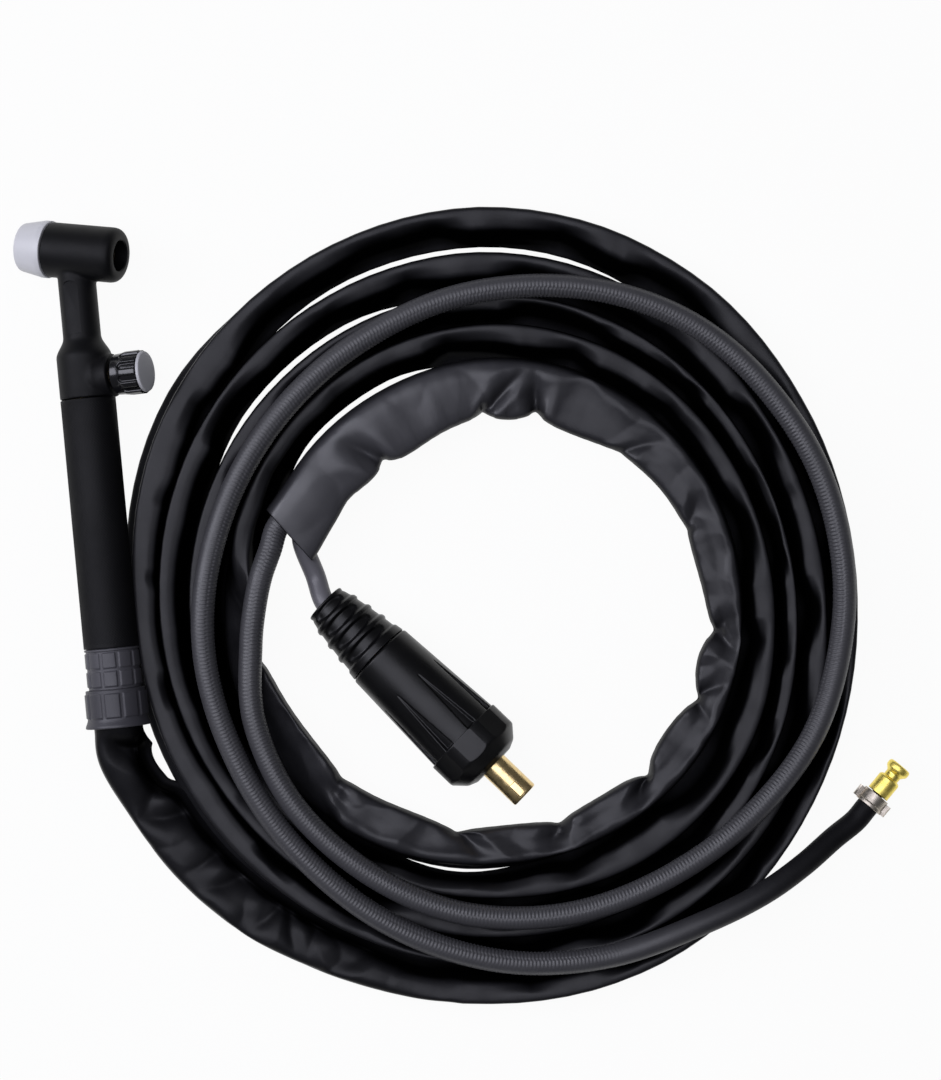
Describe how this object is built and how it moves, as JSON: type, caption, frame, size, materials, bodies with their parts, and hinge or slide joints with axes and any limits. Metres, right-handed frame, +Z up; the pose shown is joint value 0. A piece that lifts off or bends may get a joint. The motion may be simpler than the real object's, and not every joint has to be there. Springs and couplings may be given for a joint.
{
  "type": "tig welding torch",
  "caption": "Air-cooled TIG torch with a gas valve knob on its neck, a coiled sheathed lead, a current plug and a gas hose with a clamped nipple.",
  "frame": {"origin": "on the floor, below the middle of the handset, whose box is measured without the lead, the plug and the gas hose", "axes": "X points across the handle to the knob's side and the coil, Y along the handle to the head, Z up"},
  "size_m": [0.3836, 0.3736, 0.0405],
  "materials": {
    "moulding": "black moulded plastic, satin, finely knurled on the handle",
    "knob": "glossy black plastic",
    "knob_face": "grey plastic end disc",
    "ring": "dark grey moulded plastic with raised pads",
    "insulator": "white heat-resistant plastic",
    "brass": "turned brass",
    "copper": "bare copper, not polished",
    "steel": "bright zinc-plated steel",
    "rubber": "black rubber, satin",
    "jacket": "black cable jacket, smooth and slightly shiny",
    "hose": "black rubber gas hose with a fine braid",
    "cover": "black coated cloth like thin leather, creased, half shiny"
  },
  "bodies": {
    "torch": {"head_shell": "moulding", "head_core": "brass", "front_insulator": "insulator", "neck_tube": "copper", "valve_body": "brass", "valve_gland": "brass", "handle": "moulding", "handle_end_ring": "ring", "sheath_collar": "ring", "gas_barb": "brass", "cable_adapter": "brass", "cable_strands": "copper", "cable_tail": "jacket", "hose_tail": "hose", "sheath_lead": "cover", "sheath_coil": "cover", "power_cable": "jacket", "gas_hose": "hose", "hose_clamp": "steel", "gas_nipple": "brass", "plug_boot": "rubber", "plug_body": "rubber", "plug_pin": "brass", "plug_strands": "copper", "plug_ferrule": "copper", "plug_set_screw_rear": "steel", "plug_set_screw_front": "steel"},
    "stem_slide": {"valve_o_ring": "rubber"},
    "knob": {"valve_stem": "brass", "valve_knob": "knob", "knob_screw": "steel", "knob_cap": "knob_face"},
    "lock_ring": {"lock_ring": "ring"}
  },
  "joints": [
    {"name": "stem_travel", "type": "slide", "parent": "torch", "child": "stem_slide", "axis": [0.9455, 0, 0.3256], "range_m": [0, 0.0012]},
    {"name": "knob_turn", "type": "hinge", "parent": "stem_slide", "child": "knob", "pos_m": [-0.00205, 0.04257, 0.01828], "axis": [0.9455, 0, 0.3256], "range_deg": [0, 540]},
    {"name": "lock_ring_turn", "type": "hinge", "parent": "torch", "child": "lock_ring", "pos_m": [-0.00205, -0.10583, 0.01828], "axis": [0, 1, 0], "range_deg": [0, 45]}
  ],
  "couplings": [
    {"joint": "stem_travel", "follows": "knob_turn", "m_per_rad": 0.000127}
  ]
}
